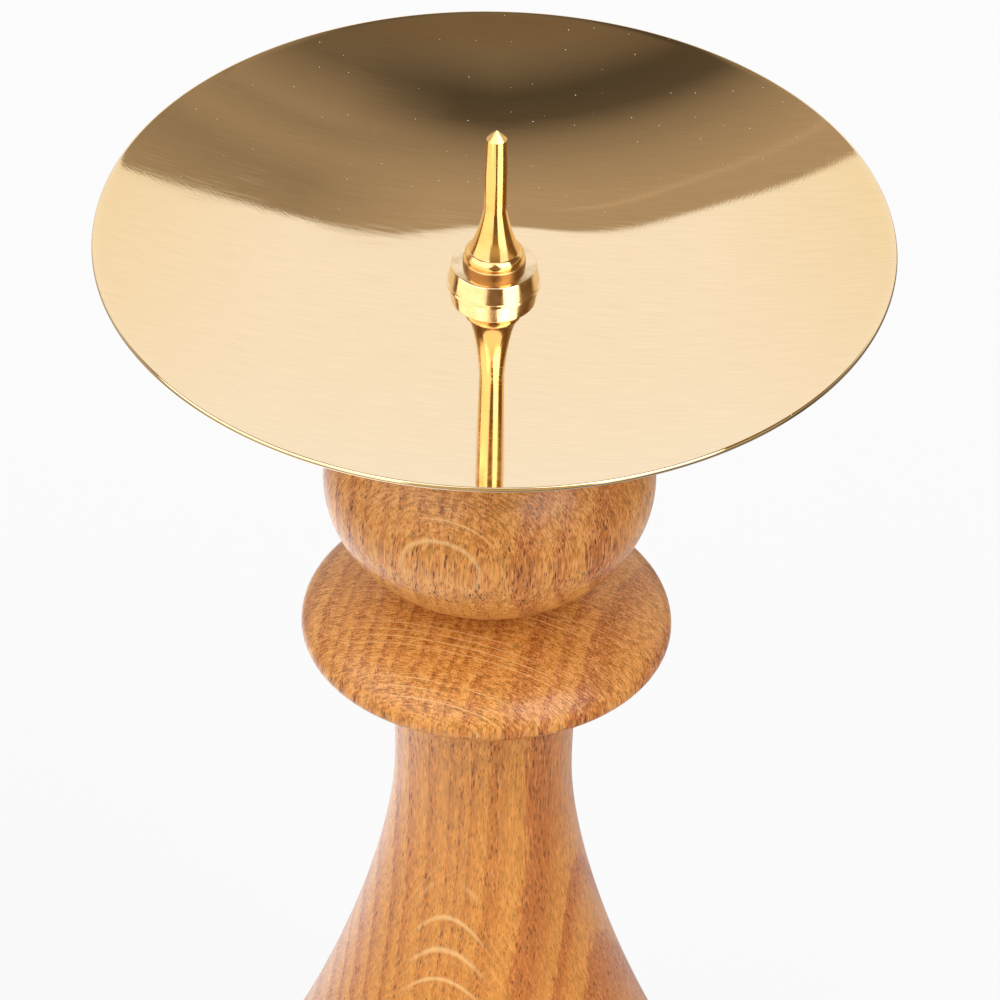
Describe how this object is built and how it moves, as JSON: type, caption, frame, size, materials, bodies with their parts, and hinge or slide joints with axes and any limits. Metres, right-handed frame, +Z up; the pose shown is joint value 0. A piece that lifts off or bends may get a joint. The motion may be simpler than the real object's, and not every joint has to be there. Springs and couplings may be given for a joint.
{
  "type": "pricket candle stand",
  "caption": "Turned oak candle stand with bulb, ring and trumpet foot, a shallow brass drip pan and a screw-on brass spike that holds a thick candle.",
  "frame": {"origin": "middle of the felt pad's underside, on the surface that the stand is put on", "axes": "+Z up along the turning axis, to the spike's point; the picture looks along +Y"},
  "size_m": [0.1504, 0.1504, 0.2874],
  "materials": {
    "felt": "matt wool felt",
    "oak": "satin lacquer",
    "steel": "zinc plated",
    "brass": "spun and polished"
  },
  "bodies": {
    "stand": {"felt_pad": "felt", "oak_foot": "oak", "oak_column": "oak", "hanger_bolt": "steel"},
    "pan": {"drip_pan": "brass"},
    "collar": {"collar": "brass"},
    "pricket": {"pricket": "brass"}
  },
  "joints": [
    {"name": "pan_lift", "type": "slide", "parent": "stand", "child": "pan", "axis": [0, 0, 1], "range_m": [0, 0.03]},
    {"name": "collar_rise", "type": "slide", "parent": "pan", "child": "collar", "axis": [0, 0, 1], "range_m": [0, 0.0056]},
    {"name": "pricket_turn", "type": "hinge", "parent": "collar", "child": "pricket", "pos_m": [0, 0, 0.2569], "axis": [0, 0, 1], "range_deg": [0, 2526]}
  ],
  "couplings": [
    {"joint": "pricket_turn", "follows": "collar_rise", "rad_per_m": 7854}
  ]
}
